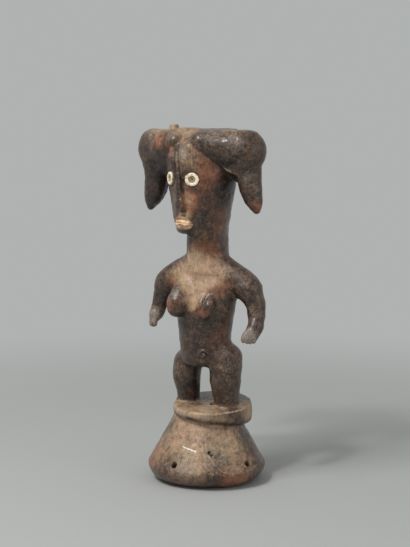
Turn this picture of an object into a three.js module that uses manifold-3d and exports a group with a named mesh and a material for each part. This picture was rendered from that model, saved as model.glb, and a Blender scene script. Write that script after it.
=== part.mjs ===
// A carved wooden figure of a woman on a flared base. Figure and base are cut from one block of wood, and two
// pale eye rings are let into the face.
// Millimetres, +Z up. The figure looks along -Y, its left hand is on the +X side, and the origin is in the
// middle of the flat underside of the base.

import * as THREE from "three";
import { mergeVertices } from "three/addons/utils/BufferGeometryUtils.js";
import Module from "manifold-3d";

const wasm = await Module();
wasm.setup();

// Driving dimensions
const BASE_RADIUS = 74.3;
const BASE_HEIGHT = 78;
const LEG_SPREAD = 28;
const CROTCH_Z = 144;
const SHOULDER_Z = 250;
const NECK_RADIUS = 25.7;
const CHIN_Z = 309.5;
const EYE_Z = 376;
const HAIR_TOP_Z = 434.5;
const LOBE_REACH = 62.7;
const HEAD_Y = -10;
const FACE_TURN = -11;
const LEFT = 1;
const RIGHT = -1;

// Forms. Each is a function of a point that gives about the distance to its skin, less than zero inside.
function ellipsoid([cx, cy, cz], [rx, ry, rz]) {
  return (x, y, z) => {
    const dx = (x - cx) / rx;
    const dy = (y - cy) / ry;
    const dz = (z - cz) / rz;
    const share = Math.hypot(dx, dy, dz);
    const steepness = Math.hypot(dx / rx, dy / ry, dz / rz);
    return steepness > 0 ? (share * (share - 1)) / steepness : -Math.min(rx, ry, rz);
  };
}

// A round bar from one [x, y, z, radius] to the next.
function bar([ax, ay, az, ar], [bx, by, bz, br]) {
  const [lx, ly, lz] = [bx - ax, by - ay, bz - az];
  const length2 = lx * lx + ly * ly + lz * lz;
  return (x, y, z) => {
    const along = ((x - ax) * lx + (y - ay) * ly + (z - az) * lz) / length2;
    const t = Math.min(Math.max(along, 0), 1);
    return Math.hypot(x - ax - t * lx, y - ay - t * ly, z - az - t * lz) - ar - t * (br - ar);
  };
}

// A value that runs smoothly through marks of [position, value], level at both ends.
function smoothThrough(marks) {
  const slope = marks.map(([at, value], i) => {
    if (i === 0 || i === marks.length - 1) return 0;
    const [before, after] = [marks[i - 1], marks[i + 1]];
    return (after[1] - before[1]) / (after[0] - before[0]);
  });
  return (at) => {
    if (at <= marks[0][0]) return marks[0][1];
    const i = marks.findIndex((mark) => mark[0] > at);
    if (i < 0) return marks[marks.length - 1][1];
    const [[a, va], [b, vb]] = [marks[i - 1], marks[i]];
    const span = b - a;
    const t = (at - a) / span;
    const rise = vb - va;
    const bend = t * t * (3 - 2 * t);
    return (
      va + rise * bend + span * (slope[i - 1] * t * (1 - t) ** 2 - slope[i] * t * t * (1 - t))
    );
  };
}

// An upright column, oval in plan, that follows marks of [z, half width, half depth, middle y].
function column(marks) {
  const halfX = smoothThrough(marks.map((mark) => [mark[0], mark[1]]));
  const halfY = smoothThrough(marks.map((mark) => [mark[0], mark[2]]));
  const middleY = smoothThrough(marks.map((mark) => [mark[0], mark[3]]));
  return (x, y, z) => {
    const [rx, ry] = [halfX(z), halfY(z)];
    const dx = x / rx;
    const dy = (y - middleY(z)) / ry;
    const share = Math.hypot(dx, dy);
    const steepness = Math.hypot(dx / rx, dy / ry);
    return steepness > 0 ? (share * (share - 1)) / steepness : -Math.min(rx, ry);
  };
}

const above = (level) => (x, y, z) => level - z;
const below = (level) => (x, y, z) => z - level;

// Two forms run together, with a fillet about as wide as soft.
function blend(a, b, soft) {
  return (x, y, z) => {
    const [da, db] = [a(x, y, z), b(x, y, z)];
    const meet = Math.max(soft - Math.abs(da - db), 0) / soft;
    return Math.min(da, db) - (meet * meet * soft) / 4;
  };
}

const blendAll = (forms, soft) => forms.reduce((a, b) => blend(a, b, soft));
const inverse = (form) => (x, y, z) => -form(x, y, z);
const within = (a, b, soft) => inverse(blend(inverse(a), inverse(b), soft));
const carved = (a, tool, soft) => within(a, inverse(tool), soft);

// A smooth round limb through stations of [x, y, z, radius].
function limb(stations) {
  const last = stations.length - 1;
  const lean = stations.map((station, i) => {
    const [before, after] = [Math.max(i - 1, 0), Math.min(i + 1, last)];
    return station.map((_, n) => (stations[after][n] - stations[before][n]) / (after - before));
  });
  const path = [stations[0]];
  for (let i = 0; i < last; i += 1)
    for (const t of [0.25, 0.5, 0.75, 1]) {
      const [bend, away, back] = [t * t * (3 - 2 * t), t * (1 - t) ** 2, t * t * (1 - t)];
      path.push(
        stations[i].map(
          (from, n) => from + (stations[i + 1][n] - from) * bend + lean[i][n] * away - lean[i + 1][n] * back,
        ),
      );
    }
  const bars = path.slice(1).map((end, i) => bar(path[i], end));
  return (x, y, z) => bars.reduce((made, part) => Math.min(made, part(x, y, z)), Infinity);
}

// A form turned about the upright line through middle y.
function turned(form, degrees, middleY) {
  const angle = THREE.MathUtils.degToRad(degrees);
  const [c, s] = [Math.cos(angle), Math.sin(angle)];
  return (x, y, z) => form(x * c + (y - middleY) * s, middleY - x * s + (y - middleY) * c, z);
}

// Short bulging legs that run down into the collar without feet, the left one stouter
function leg(side) {
  const stout = side === LEFT ? 1.12 : 1;
  const hipZ = CROTCH_Z + (side === LEFT ? 10 : 0);
  const x = side * LEG_SPREAD + 1;
  return limb([
    [x, 0, hipZ, 17.8 * stout],
    [x, -2, CROTCH_Z - 14, 17.6 * stout],
    [x + 0.5, 0, CROTCH_Z - 40, 14.2 * stout],
    [x + 0.5, 0, CROTCH_Z - 56, 14.6 * stout],
  ]);
}

// A barrel of a body, narrowest just over the hips, with a low seat behind
function torso() {
  const barrel = column([
    [CROTCH_Z, 33, 28, 0],
    [167, 32, 29.5, -2],
    [190, 34, 31, -2],
    [208, 36.5, 32.5, -2],
    [222, 39, 32, -1],
    [SHOULDER_Z - 8, 41, 30, 1],
    [SHOULDER_Z + 8, 37, 27, 3],
    [SHOULDER_Z + 22, 29, 25, 3],
  ]);
  const trunk = within(within(barrel, above(CROTCH_Z), 10), below(SHOULDER_Z + 22), 8);
  const seat = [LEFT, RIGHT].map((side) => ellipsoid([side * 15, 16, 156], [17, 14, 17]));
  const spine = bar([0, 38, 182, 5], [0, 35, SHOULDER_Z, 4]);
  return carved(blendAll([trunk, ...seat], 8), spine, 6);
}

// A full drooping right breast
const rightBreast = limb([
  [-18, -12, SHOULDER_Z + 2, 9],
  [-17.5, -27, SHOULDER_Z - 12, 12.5],
  [-17.5, -36, SHOULDER_Z - 24, 14.2],
  [-18.5, -37.5, SHOULDER_Z - 31, 12.8],
]);

// Arms that hang clear of the body, bent a little forward, with flat hands held palm back
const ARMS = {
  [LEFT]: [
    [53, 6, SHOULDER_Z - 5, 17.2],
    [62.5, 6, SHOULDER_Z - 17, 13.9],
    [67.4, 5.5, SHOULDER_Z - 29, 12],
    [70.2, 1.5, 207, 10.4],
    [72.4, -5, 198, 9],
  ],
  [RIGHT]: [
    [-50, -5, SHOULDER_Z - 4, 16.8],
    [-58, -5, SHOULDER_Z - 18, 13.4],
    [-63, -6, SHOULDER_Z - 29, 11],
    [-66, -9, 208, 9.4],
    [-67.4, -12, 203, 8.8],
  ],
};
const PALM = { [LEFT]: [72.4, -11, 192, 8.8], [RIGHT]: [-68.6, -14, 198, 8] };
const FINGERS = { [LEFT]: [69.6, -16, 185.5, 9.6], [RIGHT]: [-69, -15.5, 193.5, 8.4] };
function arm(side) {
  const [x, y, z] = PALM[side];
  return limb([[side * 22, 2, SHOULDER_Z + 17, 15], ...ARMS[side], [x, y, z + 1, 5.6]]);
}

const neck = within(
  column([
    [SHOULDER_Z + 12, 29, 28, 3],
    [SHOULDER_Z + 30, NECK_RADIUS, NECK_RADIUS, 3],
    [EYE_Z - 26, NECK_RADIUS, NECK_RADIUS, 3],
  ]),
  within(above(SHOULDER_Z + 8), below(EYE_Z - 24), 4),
  8,
);

// A tall head like a near-round post
const headMarks = [
  [286, 24, 26, HEAD_Y + 9],
  [300, 26, 30, HEAD_Y + 3],
  [313, 29.5, 33, HEAD_Y],
  [327, 33, 36, HEAD_Y],
  [349, 37.4, 39, HEAD_Y],
  [364, 40.2, 41, HEAD_Y],
  [381, 42.5, 43, HEAD_Y],
  [404, 43.5, 43.5, HEAD_Y],
  [440, 43, 43, HEAD_Y],
];
const headFront = smoothThrough(headMarks.map((mark) => [mark[0], mark[2]]));

// The head is cut off under the chin, and flows into the neck on the left and at the back. Its flat top
// slopes down to the forehead between the two rolls of hair, and is a little domed near the knob.
const underJaw = (x, y, z) => CHIN_Z - 0.8 * Math.max(x + 0.5 * (y + 46) - 4, 0) - z;
const parting = (x, y, z) => (z - HAIR_TOP_Z - 2 - 0.83 * (y + 28)) / 1.3;
const underCrown = (x, y, z) => z - HAIR_TOP_Z + 0.6 - 2.6 * Math.exp(-((x + 14) ** 2 + (y + 24) ** 2) / 420);

// A long ridge of a nose between shallow eye sockets, on the front of the head post
const NOSE_FOOT = 339;
function face() {
  const nose = within(
    limb([
      [0.5, HEAD_Y - headFront(EYE_Z) + 3.4, EYE_Z + 14, 3],
      [3, HEAD_Y - headFront(EYE_Z) + 0.6, EYE_Z - 8, 3.6],
      [4.6, HEAD_Y - headFront(NOSE_FOOT + 4) - 2.4, NOSE_FOOT + 5, 5.2],
    ]),
    above(NOSE_FOOT),
    1,
  );
  const sockets = [LEFT, RIGHT].map((side) => ellipsoid([side * 20, HEAD_Y - 43, EYE_Z - 1], [13, 7, 13]));
  const head = blend(carved(column(headMarks), blendAll(sockets, 2), 6), nose, 2);
  return within(within(within(head, underJaw, 8), parting, 5), underCrown, 4);
}

// Hair lies on the head above a slanting edge that drops to the sides and to the back
const EDGE_FRONT = [-53, 417.5];
const EDGE_SIDEWAYS = 0.38;
const EDGE_BACKWARDS = 0.58;
function overHairEdge(x, y, z) {
  const edge = EDGE_FRONT[1] - EDGE_SIDEWAYS * Math.abs(x) - EDGE_BACKWARDS * (y - EDGE_FRONT[0]);
  return (edge - z) / Math.hypot(1, EDGE_SIDEWAYS, EDGE_BACKWARDS);
}

// One heavy roll of hair at each side, flat on top, that ends in a hanging pointed tress
const LOBE_Y = -13;
function hairLobe(side) {
  const root = side === LEFT ? [18, -41, HAIR_TOP_Z - 14, 12] : [-18, -41.5, HAIR_TOP_Z - 14, 10.5];
  const [inward, stouter, drop] = side === LEFT ? [0, 0, 0] : [2.6, 1, 2.5];
  const roll = limb([
    root,
    [side * 38, -25, HAIR_TOP_Z - 21, 21.5],
    [side * (LOBE_REACH - 0.6), LOBE_Y, HAIR_TOP_Z - 22, 23.8],
    [side * (LOBE_REACH + 0.6), LOBE_Y, HAIR_TOP_Z - 38, 19],
  ]);
  const tressX = LOBE_REACH - inward;
  const tress = limb([
    [side * (tressX + 3.2), LOBE_Y + 1, HAIR_TOP_Z - 49, 16 + stouter],
    [side * (tressX + 4.6), LOBE_Y + 2, HAIR_TOP_Z - 61, 14.4 + stouter],
    [side * (tressX + 6.6), LOBE_Y + 2, HAIR_TOP_Z - 71 - drop, 13.2 + stouter],
    [side * (tressX + 9.8), LOBE_Y + 2, HAIR_TOP_Z - 81 - drop, 10.8 + stouter],
    [side * (tressX + 12.8), LOBE_Y + 2, HAIR_TOP_Z - 89 - drop, 7.6],
    [side * (tressX + 14.4), LOBE_Y + 2, HAIR_TOP_Z - 94.5 - drop, 4.6],
  ]);
  return within(blend(within(roll, overHairEdge, 1.5), tress, 3), below(HAIR_TOP_Z), 4);
}

// The cap of hair behind the rolls, hidden by them from the front
const CAP_EDGE_Z = 394;
function hair() {
  const cap = column(headMarks.map(([z, wide, deep, y]) => [z, wide + 2, deep + 2, y]));
  const behind = (x, y, z) => Math.max(overHairEdge(x, y, z), CAP_EDGE_Z - z, HEAD_Y - 8 - y);
  const crown = within(within(cap, behind, 2), underCrown, 6);
  return blendAll([crown, hairLobe(LEFT), hairLobe(RIGHT)], 4);
}

function carvedBody() {
  const trunk = blendAll([torso(), leg(LEFT), leg(RIGHT)], 7);
  const upper = blendAll([trunk, arm(LEFT), arm(RIGHT)], 9);
  const turnedFace = turned(face(), FACE_TURN, HEAD_Y);
  const head = blend(turnedFace, hair(), 1.5);
  return blend(blend(blend(upper, rightBreast, 7), neck, 6), head, 3.5);
}

// Sampling marks along one axis, from stretches of [end, step] after a first mark.
function marksAlong(first, stretches) {
  const marks = [first];
  for (const [end, step] of stretches) {
    const from = marks[marks.length - 1];
    const count = Math.max(Math.round((end - from) / step), 1);
    for (let i = 1; i <= count; i += 1) marks.push(from + ((end - from) * i) / count);
  }
  return marks;
}

// One step from a point towards the skin of a form.
function pullOnto(form, point) {
  const reach = 0.05;
  const [x, y, z] = point;
  const value = form(x, y, z);
  const slope = [
    (form(x + reach, y, z) - form(x - reach, y, z)) / (2 * reach),
    (form(x, y + reach, z) - form(x, y - reach, z)) / (2 * reach),
    (form(x, y, z + reach) - form(x, y, z - reach)) / (2 * reach),
  ];
  const steep2 = slope[0] ** 2 + slope[1] ** 2 + slope[2] ** 2;
  const step = Math.max(Math.min(value / Math.max(steep2, 0.2), 1.5), -1.5);
  return point.map((at, i) => at - step * slope[i]);
}

// Where the corners of a grid square lie in and out by turns, the skin would touch itself. The inner corner
// nearest to the skin is then put outside.
function settle(sample, strides) {
  let moved = true;
  while (moved) {
    moved = false;
    for (const [u, v] of [[0, 1], [1, 2], [2, 0]]) {
      const [du, dv] = [strides[u], strides[v]];
      for (let n = 0; n + du + dv < sample.length; n += 1) {
        const corners = [n, n + du, n + du + dv, n + dv];
        const inner = corners.filter((corner) => sample[corner] < 0);
        if (inner.length !== 2 || (corners.indexOf(inner[0]) - corners.indexOf(inner[1])) % 2) continue;
        sample[sample[inner[0]] > sample[inner[1]] ? inner[0] : inner[1]] = 0.01;
        moved = true;
      }
    }
  }
}

// The skin of a form as one closed mesh: a vertex in every grid cell that the skin passes through, and a quad
// across every grid edge that it crosses.
function skinOf(form, [xs, ys, zs]) {
  const [nx, ny, nz] = [xs.length, ys.length, zs.length];
  const sample = new Float64Array(nx * ny * nz);
  const at = (i, j, k) => (k * ny + j) * nx + i;
  for (let k = 0; k < nz; k += 1)
    for (let j = 0; j < ny; j += 1)
      for (let i = 0; i < nx; i += 1) sample[at(i, j, k)] = form(xs[i], ys[j], zs[k]);
  const strides = [1, nx, nx * ny];
  settle(sample, strides);
  const positions = [];
  const vertexOf = new Map();
  const corner = (n) => [n & 1, (n >> 1) & 1, (n >> 2) & 1];
  for (let k = 0; k < nz - 1; k += 1)
    for (let j = 0; j < ny - 1; j += 1)
      for (let i = 0; i < nx - 1; i += 1) {
        const crossings = [];
        for (let n = 0; n < 8; n += 1)
          for (const bit of [1, 2, 4]) {
            if (n & bit) continue;
            const [a, b] = [corner(n), corner(n | bit)];
            const va = sample[at(i + a[0], j + a[1], k + a[2])];
            const vb = sample[at(i + b[0], j + b[1], k + b[2])];
            if (va < 0 === vb < 0) continue;
            const t = va / (va - vb);
            crossings.push([
              xs[i + a[0]] + t * (xs[i + b[0]] - xs[i + a[0]]),
              ys[j + a[1]] + t * (ys[j + b[1]] - ys[j + a[1]]),
              zs[k + a[2]] + t * (zs[k + b[2]] - zs[k + a[2]]),
            ]);
          }
        if (!crossings.length) continue;
        let point = [0, 1, 2].map((axis) => {
          const sum = crossings.reduce((total, crossing) => total + crossing[axis], 0);
          return sum / crossings.length;
        });
        for (let pass = 0; pass < 3; pass += 1) {
          const pulled = pullOnto(form, point);
          point = pulled.map((value, n) => {
            const marks = [xs, ys, zs][n];
            const cell = [i, j, k][n];
            return Math.min(Math.max(value, marks[cell]), marks[cell + 1]);
          });
        }
        vertexOf.set(at(i, j, k), positions.length / 3);
        positions.push(...point);
      }
  const index = [];
  const gap2 = (a, b) =>
    [0, 1, 2].reduce((sum, n) => sum + (positions[3 * a + n] - positions[3 * b + n]) ** 2, 0);
  const counts = [nx, ny, nz];
  for (let k = 1; k < nz - 1; k += 1)
    for (let j = 1; j < ny - 1; j += 1)
      for (let i = 1; i < nx - 1; i += 1)
        for (let axis = 0; axis < 3; axis += 1) {
          if ([i, j, k][axis] >= counts[axis] - 1) continue;
          const here = at(i, j, k);
          const inside = sample[here] < 0;
          if (inside === sample[here + strides[axis]] < 0) continue;
          const u = strides[(axis + 1) % 3];
          const v = strides[(axis + 2) % 3];
          const ring = [here, here - u, here - u - v, here - v].map((cell) => vertexOf.get(cell));
          if (!inside) ring.reverse();
          const [a, b, c, d] = ring;
          if (gap2(a, c) <= gap2(b, d)) index.push(a, b, c, a, c, d);
          else index.push(b, c, d, b, d, a);
        }
  const geometry = new THREE.BufferGeometry();
  geometry.setAttribute("position", new THREE.Float32BufferAttribute(positions, 3));
  geometry.setIndex(index);
  return geometry;
}

// Geometry to a solid that can be joined and cut, and back.
function solid(geometry) {
  const bare = geometry.clone();
  bare.deleteAttribute("normal");
  bare.deleteAttribute("uv");
  const merged = mergeVertices(bare, 1e-4);
  return new wasm.Manifold(
    new wasm.Mesh({
      numProp: 3,
      vertProperties: merged.attributes.position.array,
      triVerts: new Uint32Array(merged.index.array),
    }),
  );
}

function geometryOf(made) {
  const mesh = made.getMesh();
  const geometry = new THREE.BufferGeometry();
  geometry.setAttribute("position", new THREE.BufferAttribute(Float32Array.from(mesh.vertProperties), 3));
  geometry.setIndex(new THREE.BufferAttribute(Uint32Array.from(mesh.triVerts), 1));
  geometry.computeVertexNormals();
  return geometry;
}

// A round solid from a profile of [radius, z] points that starts and ends on the axis, oval by depth.
function turnedSolid(profile, depth, sides) {
  const points = profile.map(([radius, z]) => new THREE.Vector2(radius, z));
  return new THREE.LatheGeometry(points, sides).rotateX(Math.PI / 2).scale(1, depth, 1);
}

// A geometry that stands along +Y in its own middle, laid from one point to another.
function laid(geometry, a, b) {
  const along = b.clone().sub(a).normalize();
  const turn = new THREE.Quaternion().setFromUnitVectors(new THREE.Vector3(0, 1, 0), along);
  const middle = a.clone().add(b).multiplyScalar(0.5);
  return geometry.applyQuaternion(turn).translate(middle.x, middle.y, middle.z);
}

// A straight drill from one point to another.
function drill(from, to, radius) {
  const [a, b] = [new THREE.Vector3(...from), new THREE.Vector3(...to)];
  return laid(new THREE.CylinderGeometry(radius, radius, a.distanceTo(b), 16), a, b);
}

// A round-ended rod between two points.
function rod(from, to, radius) {
  const [a, b] = [new THREE.Vector3(...from), new THREE.Vector3(...to)];
  return laid(new THREE.CapsuleGeometry(radius, a.distanceTo(b), 2, 8), a, b);
}

// A ball stretched to three radii.
function oval(radii, sides) {
  return new THREE.SphereGeometry(1, sides, Math.round(sides * 0.6)).scale(...radii);
}

// Flared base with a worn round foot, widest a little above the ground
const BASE_DEPTH = 0.95;
function base() {
  const flank = smoothThrough([
    [0, BASE_RADIUS - 20],
    [3, BASE_RADIUS - 12],
    [9, BASE_RADIUS - 4.5],
    [17, BASE_RADIUS - 0.6],
    [22, BASE_RADIUS - 0.6],
    [36, BASE_RADIUS - 8.6],
    [52, BASE_RADIUS - 18],
    [66, BASE_RADIUS - 26],
    [BASE_HEIGHT + 4, BASE_RADIUS - 33],
  ]);
  const levels = [0, 2, 6, 13, 22, 32, 43, 54, 66, BASE_HEIGHT + 4];
  const profile = [[0, 0], ...levels.map((z) => [flank(z), z]), [0, BASE_HEIGHT + 4]];
  return turnedSolid(profile, BASE_DEPTH, 32);
}

// Thick rounded plate under the feet, set off centre on the base. It tips a little to the front, and is
// thicker on the left.
const COLLAR = { x: 5, y: 7, radius: 47.5, depth: 1.12 };
function collar() {
  const rim = [
    [COLLAR.radius - 5, 0],
    [COLLAR.radius - 1.2, 0.2],
    [COLLAR.radius, 0.5],
    [COLLAR.radius - 0.5, 0.85],
    [COLLAR.radius - 1.2, 1],
  ];
  const plate = turnedSolid([[0, 0], ...rim, [0, 1]], COLLAR.depth, 32).translate(COLLAR.x, COLLAR.y, 0);
  const position = plate.attributes.position;
  for (let i = 0; i < position.count; i += 1) {
    const [x, y] = [position.getX(i), position.getY(i)];
    const top = 95.6 - 0.03 * x + 0.06 * y;
    const low = 75 - 0.083 * x - 0.112 * y;
    position.setZ(i, low + position.getZ(i) * (top - low));
  }
  return plate;
}

// A worn knob that stands on the right hand roll of hair
function topKnob() {
  const profile = [
    [0, -6],
    [6.7, -6],
    [6.4, 4],
    [5, 5.8],
    [0, 6.4],
  ];
  return turnedSolid(profile, 1, 14).translate(-37.5, -14, HAIR_TOP_Z);
}

// Lashing holes drilled from the flank of the base down and in, one at each quarter
const LASHING = { z: 30, radius: 3.6, mouth: 69, foot: 46, turns: [-5, 79, 180, 270] };
function lashingHole(degrees) {
  const angle = THREE.MathUtils.degToRad(degrees - 90);
  const [c, s] = [Math.cos(angle), Math.sin(angle)];
  const at = (share) => {
    const radius = LASHING.foot + share * (LASHING.mouth - LASHING.foot);
    return [radius * c, radius * BASE_DEPTH * s, share * LASHING.z];
  };
  return drill(at(1.3), at(-0.1), LASHING.radius);
}

// Eye rings: where each sits on the turned face, and which way it looks
const EYE = { angle: 26, seat: 40.9, radius: 8.2, pupil: 4.4, sunk: 1.3, thick: 3, proud: 0.5, gap: 0.3 };
function eyePlace(side) {
  const turn = THREE.MathUtils.degToRad(side * EYE.angle + FACE_TURN);
  const out = new THREE.Vector3(Math.sin(turn), -Math.cos(turn), 0);
  return { out, middle: new THREE.Vector3(0, HEAD_Y, EYE_Z).addScaledVector(out, EYE.seat) };
}

function eyeRecess(side) {
  const { out, middle } = eyePlace(side);
  const floor = middle.clone().addScaledVector(out, EYE.proud - EYE.thick - EYE.gap);
  const mouth = middle.clone().addScaledVector(out, 12);
  return drill(floor.toArray(), mouth.toArray(), EYE.radius + EYE.gap);
}

function eyeInlay() {
  const profile = [
    [0, 0],
    [EYE.radius - 0.6, 0],
    [EYE.radius, 0.6],
    [EYE.radius, EYE.thick - 0.8],
    [EYE.radius - 0.9, EYE.thick],
    [EYE.pupil + 0.5, EYE.thick],
    [EYE.pupil, EYE.thick - 0.5],
    [EYE.pupil - 0.4, EYE.thick - EYE.sunk],
    [0, EYE.thick - EYE.sunk],
  ];
  return turnedSolid(profile, 1, 18);
}

// Flat hands, broad from the side and squared off below, with three short cuts between the fingers
const HAND = { turn: 32, thinner: 0.6, square: 6.4, cut: 1.2, gap: 4.5 };
function handSolid(side) {
  const [palm, fingers] = [PALM[side], FINGERS[side]];
  const turn = side * HAND.turn;
  const [c, s] = [Math.cos(THREE.MathUtils.degToRad(turn)), Math.sin(THREE.MathUtils.degToRad(turn))];
  const [dx, dy, dz] = [fingers[0] - palm[0], fingers[1] - palm[1], fingers[2] - palm[2]];
  const tip = [dx * c + dy * s, dy * c - dx * s, dz];
  const size = (radius) => [radius, radius * HAND.thinner, radius];
  const heel = solid(oval(size(palm[3]), 12));
  const paddle = solid(oval(size(fingers[3]), 14).translate(...tip));
  const floor = new THREE.BoxGeometry(60, 60, 20).translate(0, 0, tip[2] - HAND.square - 10);
  let hand = heel.add(paddle).subtract(solid(floor));
  for (const place of [-1, 0, 1]) {
    const cut = new THREE.BoxGeometry(HAND.cut, 2 * HAND.gap, 8);
    hand = hand.subtract(solid(cut.translate(tip[0] + place * HAND.gap, tip[1] - 7, tip[2] - 6)));
  }
  return hand.rotate([0, 0, turn]).translate(palm.slice(0, 3));
}

// The small left breast, pointed below and split by an upright groove
function leftBreast() {
  const outer = oval([6.8, 7.2, 14], 10).rotateY(THREE.MathUtils.degToRad(11)).translate(20.6, -30, 220.5);
  const inner = oval([6, 7.4, 13.4], 10).rotateY(THREE.MathUtils.degToRad(-11)).translate(13.8, -31, 220.5);
  return solid(outer).add(solid(inner));
}

// Pursed oval lips with a level parting, under a thick arched upper lip
const MOUTH = { x: 2.6, y: HEAD_Y - 34, z: 320.5 };
function mouth() {
  const lips = solid(oval([12, 10.4, 6.6], 14));
  const parting = solid(rod([-8, -10.6, 2.9], [8, -10.6, 2.9], 1.2));
  const upper = [
    [-10.5, 1.4, 4.8],
    [-5, -1.2, 8.6],
    [5, -1.2, 8.2],
    [11, 1.4, 3.6],
  ];
  let made = lips.subtract(parting);
  for (const [i, end] of upper.slice(1).entries()) made = made.add(solid(rod(upper[i], end, 2.4)));
  return made.translate([MOUTH.x, MOUTH.y, MOUTH.z]);
}

// Two broad raised ribs and a fine one between them run up the middle of the forehead, leaning to the right
function foreheadRib([place, radius]) {
  const low = [1 + 0.78 * place, HEAD_Y - 44 + radius, EYE_Z + 6];
  const high = [-2 + 0.98 * place, HEAD_Y - 44.4 + radius, EYE_Z + 40];
  return solid(rod(low, high, radius));
}

// The hand-worked features of the face, turned with it
function faceFeatures() {
  const ribs = [[-8.6, 4.4], [0, 1.9], [8.4, 4.6]].map(foreheadRib);
  const made = ribs.reduce((a, b) => a.add(b), mouth());
  return made.translate([0, -HEAD_Y, 0]).rotate([0, 0, FACE_TURN]).translate([0, HEAD_Y, 0]);
}

const GRID = [
  marksAlong(-108, [[-27, 8.8], [27, 6.3], [108, 8.8]]),
  marksAlong(-70, [[-37, 6.2], [48, 8.8]]),
  marksAlong(80, [[205, 9.3], [296, 8.2], [446, 7.5]]),
];

const body = solid(skinOf(within(carvedBody(), above(90), 1), GRID));
const pit = drill([11.5, -3.5, 91], [14, 4, 101], 4.2);
let figureSolid = [solid(base()), solid(collar()), solid(topKnob()), leftBreast(), faceFeatures()].reduce(
  (made, added) => made.add(added),
  body,
);
for (const side of [LEFT, RIGHT]) figureSolid = figureSolid.add(handSolid(side));
for (const degrees of LASHING.turns) figureSolid = figureSolid.subtract(solid(lashingHole(degrees)));
for (const side of [LEFT, RIGHT]) figureSolid = figureSolid.subtract(solid(eyeRecess(side)));
figureSolid = figureSolid.subtract(solid(pit));

// Finishes
const agedWood = new THREE.MeshStandardMaterial({ color: "#6b4f3f", roughness: 0.62, metalness: 0 });
const paleInlay = new THREE.MeshStandardMaterial({ color: "#e6d6b6", roughness: 0.55, metalness: 0 });

const group = new THREE.Group();
const figure = new THREE.Mesh(geometryOf(figureSolid), agedWood);
figure.name = "figure";
group.add(figure);

for (const [side, name] of [[LEFT, "left_eye_inlay"], [RIGHT, "right_eye_inlay"]]) {
  const { out, middle } = eyePlace(side);
  const inlay = new THREE.Mesh(eyeInlay(), paleInlay);
  inlay.name = name;
  inlay.quaternion.setFromUnitVectors(new THREE.Vector3(0, 0, 1), out);
  inlay.position.copy(middle).addScaledVector(out, EYE.proud - EYE.thick);
  group.add(inlay);
}

export default group;
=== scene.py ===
"""Looks of a carved wooden shrine figure with pale eye inlays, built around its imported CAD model."""

import math

import bpy
import numpy as np
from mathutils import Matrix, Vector


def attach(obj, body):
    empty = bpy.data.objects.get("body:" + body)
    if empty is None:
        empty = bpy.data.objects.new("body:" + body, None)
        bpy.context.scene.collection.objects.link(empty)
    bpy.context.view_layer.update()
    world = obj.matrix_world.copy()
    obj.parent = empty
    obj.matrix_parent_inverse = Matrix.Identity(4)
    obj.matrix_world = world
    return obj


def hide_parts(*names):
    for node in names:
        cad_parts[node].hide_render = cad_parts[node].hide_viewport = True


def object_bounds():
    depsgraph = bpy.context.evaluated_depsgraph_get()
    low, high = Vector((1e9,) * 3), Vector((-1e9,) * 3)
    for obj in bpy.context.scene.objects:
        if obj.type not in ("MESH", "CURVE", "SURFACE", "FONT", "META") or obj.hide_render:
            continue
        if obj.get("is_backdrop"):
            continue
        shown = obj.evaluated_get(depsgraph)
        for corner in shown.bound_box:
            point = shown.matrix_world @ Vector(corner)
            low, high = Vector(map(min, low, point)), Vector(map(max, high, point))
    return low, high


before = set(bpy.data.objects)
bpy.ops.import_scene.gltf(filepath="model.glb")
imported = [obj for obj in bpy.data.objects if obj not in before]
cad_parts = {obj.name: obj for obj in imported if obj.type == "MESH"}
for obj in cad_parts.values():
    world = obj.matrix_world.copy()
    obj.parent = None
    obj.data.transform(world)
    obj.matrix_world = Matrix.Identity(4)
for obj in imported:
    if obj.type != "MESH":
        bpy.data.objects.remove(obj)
cad_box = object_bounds()

# The view of the photograph: a camera 1.7 m off and a little higher than the figure, 32 degrees round to
# the figure's left, with a long lens. Metres, in the frame's axes.
VIEW_TURN = math.radians(32)
VIEW_TILT = math.radians(7.6)
VIEW_DISTANCE = 1.684
VIEW_HEIGHT = 0.482
VIEW_SIDESTEP = -0.0018
FOCAL_PIXELS = 1380
FRAME_LONG_SIDE = 547
SENSOR = 36
CLIP_START = 0.05

toward_camera = Vector((math.sin(VIEW_TURN), -math.cos(VIEW_TURN), 0))
camera_right = Vector((math.cos(VIEW_TURN), math.sin(VIEW_TURN), 0))
view_direction = -math.cos(VIEW_TILT) * toward_camera - Vector((0, 0, math.sin(VIEW_TILT)))
camera = bpy.data.objects.new("camera", bpy.data.cameras.new("camera"))
camera.data.sensor_width = SENSOR
camera.data.lens = FOCAL_PIXELS / FRAME_LONG_SIDE * SENSOR
camera.data.clip_start = CLIP_START
camera.location = (
    VIEW_DISTANCE * toward_camera + VIEW_SIDESTEP * camera_right + Vector((0, 0, VIEW_HEIGHT))
)
camera.rotation_mode = "QUATERNION"
camera.rotation_quaternion = view_direction.to_track_quat("-Z", "Y")
scene = bpy.context.scene
scene.collection.objects.link(camera)
scene.camera = camera
scene.view_settings.view_transform = "Standard"


# Plain studio: a pale grey floor that fades out into a background of the same grey, a broad soft box high
# on the left of the camera, a small hard one beside it for the glints, and a weak fill on the right.
def linear(hex_colour):
    """An sRGB colour like #a0b1c2 as linear red, green, blue and a full alpha."""
    parts = [int(hex_colour[i : i + 2], 16) / 255 for i in (1, 3, 5)]
    return [p / 12.92 if p <= 0.04045 else ((p + 0.055) / 1.055) ** 2.4 for p in parts] + [1]


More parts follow.
